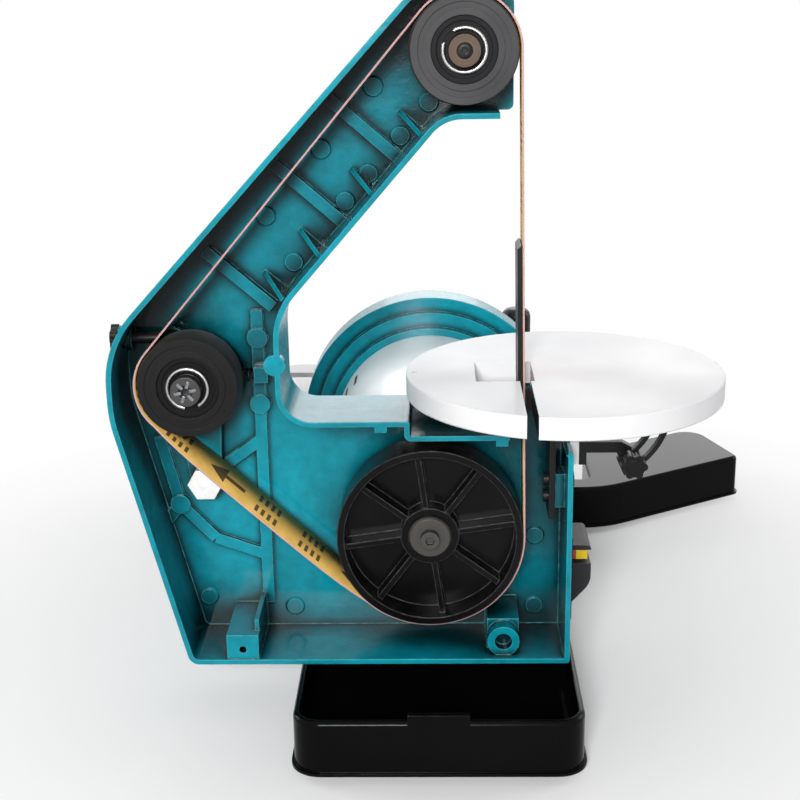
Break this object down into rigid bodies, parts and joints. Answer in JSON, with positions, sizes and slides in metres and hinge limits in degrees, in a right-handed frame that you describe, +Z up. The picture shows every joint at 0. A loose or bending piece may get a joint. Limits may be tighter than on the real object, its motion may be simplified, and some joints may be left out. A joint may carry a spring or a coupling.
{
  "type": "belt and disc sander",
  "caption": "Bench sander with an upright narrow belt in an open cast housing, a round tilting belt table, and a disc with its own tilting table and mitre gauge.",
  "frame": {"origin": "centre of the bench bolt pattern, on the plane that the rubber feet stand on", "axes": "+Z up, +Y along the motor shaft from the belt to the disc, +X towards the belt table"},
  "size_m": [0.5367, 0.5886, 0.5024],
  "materials": {
    "teal_paint": "gloss",
    "white_paint": "satin",
    "motor_paint": "gloss",
    "black_paint": "gloss",
    "black_plastic": "satin",
    "black_rubber": "matte",
    "steel": "brushed",
    "dark_steel": "oiled",
    "zinc": "plated",
    "aluminium": "machined",
    "copper": "enamelled",
    "abrasive_cloth": "matte",
    "red_plastic": "gloss",
    "yellow_plastic": "gloss"
  },
  "bodies": {
    "frame": {"base_casting": "black_paint", "rubber_feet": "black_rubber", "motor_foot": "motor_paint", "foot_bolts": "dark_steel", "motor_shell": "motor_paint", "end_bells": "motor_paint", "motor_stator": "steel", "motor_windings": "copper", "shaft_bearings": "steel", "capacitor_cover": "motor_paint", "switch_box": "black_plastic", "switch_bezel": "black_plastic", "cable_gland": "black_plastic", "belt_housing": "teal_paint", "motor_bolts": "dark_steel", "top_axle": "steel", "top_axle_nut": "steel", "top_retaining_ring": "zinc", "tension_bolt": "zinc", "tension_spring": "steel", "abrasive_belt": "abrasive_cloth", "platen": "dark_steel", "platen_bracket": "steel", "platen_screws": "dark_steel", "table_post": "white_paint", "post_bolts": "dark_steel", "lock_arm": "black_paint", "table_pivot_pin": "dark_steel", "table_lock_nut": "dark_steel", "disc_shroud": "teal_paint", "trunnion_brackets": "white_paint", "bracket_screws": "dark_steel", "disc_pivot_pins": "dark_steel", "disc_guide_bolt": "dark_steel"},
    "rotor": {"motor_shaft": "steel", "motor_rotor": "steel", "drive_wheel": "black_plastic", "hub_washer": "steel", "hub_screw": "dark_steel", "disc_plate": "aluminium", "disc_set_screw": "dark_steel", "abrasive_disc": "abrasive_cloth"},
    "top_wheel": {"top_wheel": "black_rubber", "top_bearings": "steel"},
    "tension_arm": {"tension_arm": "black_paint", "tracking_axle": "steel", "tracking_retaining_ring": "zinc"},
    "tracking_wheel": {"tracking_wheel": "black_rubber", "tracking_bearings": "steel"},
    "tracking_knob": {"tracking_knob": "black_plastic"},
    "belt_table": {"belt_table": "white_paint"},
    "table_knob": {"table_lock_knob": "black_plastic"},
    "disc_table": {"disc_table": "white_paint", "trunnions": "white_paint"},
    "disc_knob": {"disc_lock_knob": "black_plastic"},
    "mitre_bar": {"mitre_bar": "steel"},
    "mitre_head": {"mitre_head": "aluminium"},
    "mitre_knob": {"mitre_knob": "black_plastic"},
    "switch_paddle": {"switch_paddle": "red_plastic"},
    "safety_key": {"safety_key": "yellow_plastic"}
  },
  "joints": [
    {"name": "drive_spin", "type": "hinge", "parent": "frame", "child": "rotor", "pos_m": [-0.005, -0.122, 0.13], "axis": [0, 1, 0], "continuous": true},
    {"name": "top_wheel_spin", "type": "hinge", "parent": "frame", "child": "top_wheel", "pos_m": [0.0192, -0.122, 0.4539], "axis": [0, 1, 0], "continuous": true},
    {"name": "tension_swing", "type": "hinge", "parent": "frame", "child": "tension_arm", "pos_m": [-0.1605, -0.103, 0.162], "axis": [0, 1, 0], "range_deg": [0, 8], "stiffness_Nm_per_rad": 10, "springref_deg": -8.59, "deforming": ["tension_spring"]},
    {"name": "tracking_wheel_spin", "type": "hinge", "parent": "tension_arm", "child": "tracking_wheel", "pos_m": [-0.1647, -0.122, 0.2382], "axis": [0, 1, 0], "continuous": true},
    {"name": "tracking_knob_turn", "type": "hinge", "parent": "frame", "child": "tracking_knob", "pos_m": [-0.214, -0.103, 0.265], "axis": [1, 0, 0], "continuous": true},
    {"name": "belt_table_tilt", "type": "hinge", "parent": "frame", "child": "belt_table", "pos_m": [0.104, -0.117, 0.222], "axis": [0, 1, 0], "range_deg": [0, 30]},
    {"name": "table_knob_turn", "type": "hinge", "parent": "frame", "child": "table_knob", "pos_m": [0.13099, -0.137, 0.18402], "axis": [0, 1, 0], "continuous": true},
    {"name": "disc_table_tilt", "type": "hinge", "parent": "frame", "child": "disc_table", "pos_m": [-0.005, 0.168, 0.111], "axis": [-1, 0, 0], "range_deg": [0, 45]},
    {"name": "disc_knob_turn", "type": "hinge", "parent": "frame", "child": "disc_knob", "pos_m": [-0.126, 0.15967, 0.06373], "axis": [1, 0, 0], "continuous": true},
    {"name": "mitre_slide", "type": "slide", "parent": "disc_table", "child": "mitre_bar", "axis": [1, 0, 0], "range_m": [-0.1, 0]},
    {"name": "mitre_swivel", "type": "hinge", "parent": "mitre_bar", "child": "mitre_head", "pos_m": [0.076, 0.279, 0.13], "axis": [0, 0, 1], "range_deg": [-45, 45]},
    {"name": "mitre_knob_turn", "type": "hinge", "parent": "mitre_bar", "child": "mitre_knob", "pos_m": [0.076, 0.279, 0.15], "axis": [0, 0, 1], "continuous": true},
    {"name": "switch_rock", "type": "hinge", "parent": "frame", "child": "switch_paddle", "pos_m": [0.096, -0.051, 0.089], "axis": [0, 1, 0], "range_deg": [-6, 6]},
    {"name": "safety_key_pull", "type": "slide", "parent": "switch_paddle", "child": "safety_key", "axis": [1, 0, 0], "range_m": [0, 0.012]}
  ],
  "couplings": [
    {"joint": "top_wheel_spin", "follows": "drive_spin", "ratio": 1.8143},
    {"joint": "tracking_wheel_spin", "follows": "drive_spin", "ratio": 1.8143}
  ]
}
